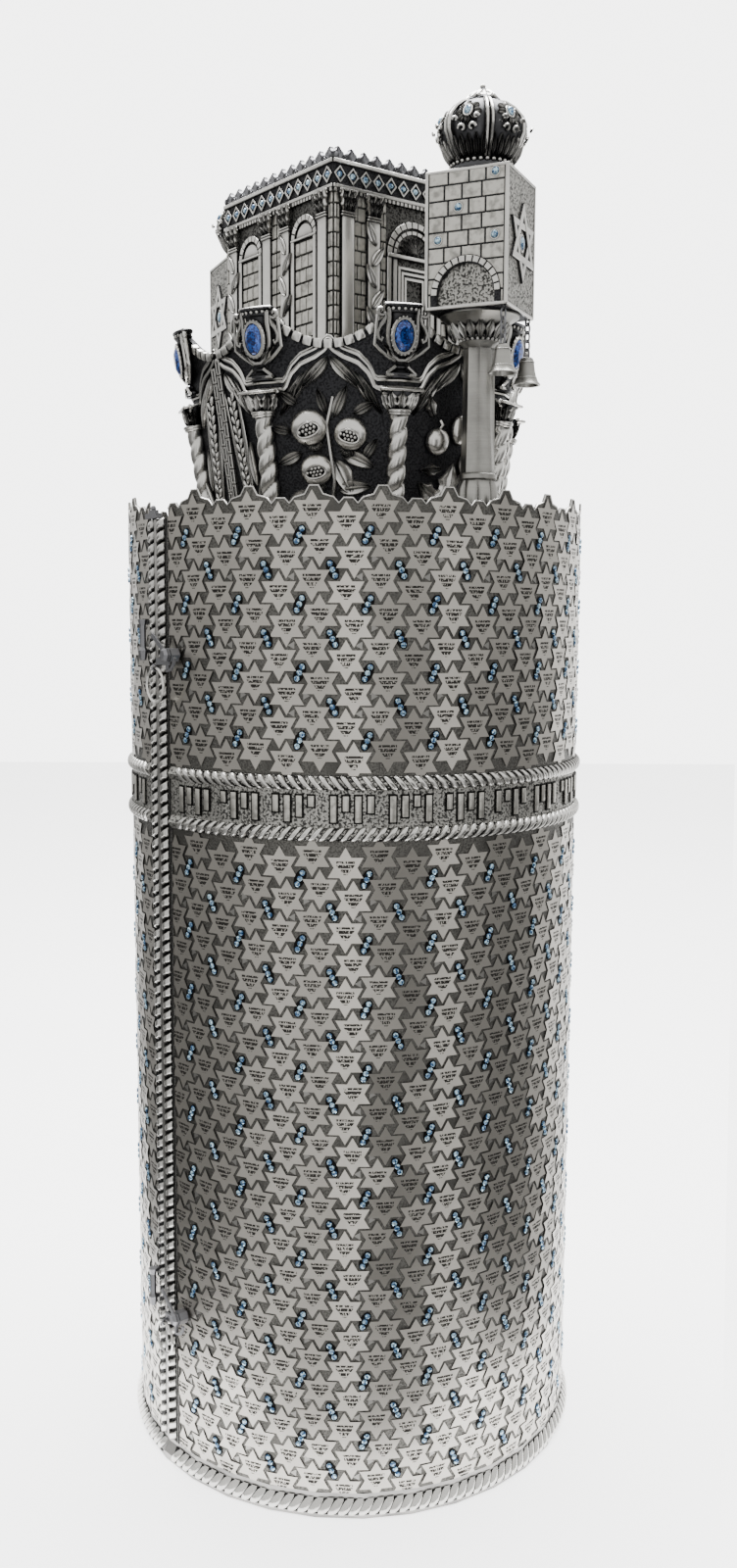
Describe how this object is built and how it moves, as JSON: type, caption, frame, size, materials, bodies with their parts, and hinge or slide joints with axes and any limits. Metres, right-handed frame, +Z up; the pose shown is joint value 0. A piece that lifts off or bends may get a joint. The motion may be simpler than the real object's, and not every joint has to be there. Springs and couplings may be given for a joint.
{
  "type": "torah case",
  "caption": "Tall round hinged scroll case in two halves with latches, star-patterned sheets, a carved coronet, a small central building and two domed finials with bells.",
  "frame": {"origin": "centre of the underside of the closed case", "axes": "+Z up along the height, -Y through the front seam, +X towards the half with the latch levers, hinge at +Y"},
  "size_m": [0.3231, 0.3186, 0.8571],
  "materials": {
    "case_silver": "bright worked nickel silver",
    "star_silver": "worked silver with oxidised recesses",
    "dark_silver": "oxidised cast silver",
    "blue_stone": "polished light blue stone"
  },
  "bodies": {
    "right_half": {"right_case_shell": "case_silver", "right_lower_star_sheet": "star_silver", "right_upper_star_sheet": "star_silver", "right_text_band": "case_silver", "right_base_rope": "case_silver", "right_seam_strip": "case_silver", "right_hinge_leaf": "dark_silver", "right_coronet": "dark_silver", "right_building": "case_silver", "right_tower_column": "case_silver", "right_tower_box": "case_silver", "right_tower_dome": "dark_silver", "right_bell_1": "case_silver", "right_bell_2": "case_silver", "right_vase_stone_1": "blue_stone", "right_vase_stone_2": "blue_stone", "right_vase_stone_3": "blue_stone", "right_vase_stone_4": "blue_stone", "hinge_pin": "dark_silver", "top_catch": "dark_silver", "upper_latch_base": "dark_silver", "upper_pull_ring": "case_silver", "lower_latch_base": "dark_silver", "lower_pull_ring": "case_silver"},
    "left_half": {"left_case_shell": "case_silver", "left_lower_star_sheet": "star_silver", "left_upper_star_sheet": "star_silver", "left_text_band": "case_silver", "left_base_rope": "case_silver", "left_seam_strip": "case_silver", "left_hinge_leaf": "dark_silver", "left_coronet": "dark_silver", "left_building": "case_silver", "left_tower_column": "case_silver", "left_tower_box": "case_silver", "left_tower_dome": "dark_silver", "left_bell_1": "case_silver", "left_bell_2": "case_silver", "left_vase_stone_1": "blue_stone", "left_vase_stone_2": "blue_stone", "left_vase_stone_3": "blue_stone", "left_vase_stone_4": "blue_stone", "upper_latch_post": "dark_silver", "lower_latch_post": "dark_silver"},
    "upper_lever": {"upper_latch_lever": "dark_silver"},
    "lower_lever": {"lower_latch_lever": "dark_silver"}
  },
  "joints": [
    {"name": "case_hinge", "type": "hinge", "parent": "right_half", "child": "left_half", "pos_m": [0, 0.1548, 0.3], "axis": [0, 0, -1], "range_deg": [0, 150]},
    {"name": "upper_latch", "type": "hinge", "parent": "right_half", "child": "upper_lever", "pos_m": [0.022, -0.156, 0.528], "axis": [0, 1, 0], "range_deg": [0, 100]},
    {"name": "lower_latch", "type": "hinge", "parent": "right_half", "child": "lower_lever", "pos_m": [0.022, -0.156, 0.108], "axis": [0, 1, 0], "range_deg": [0, 100]}
  ]
}
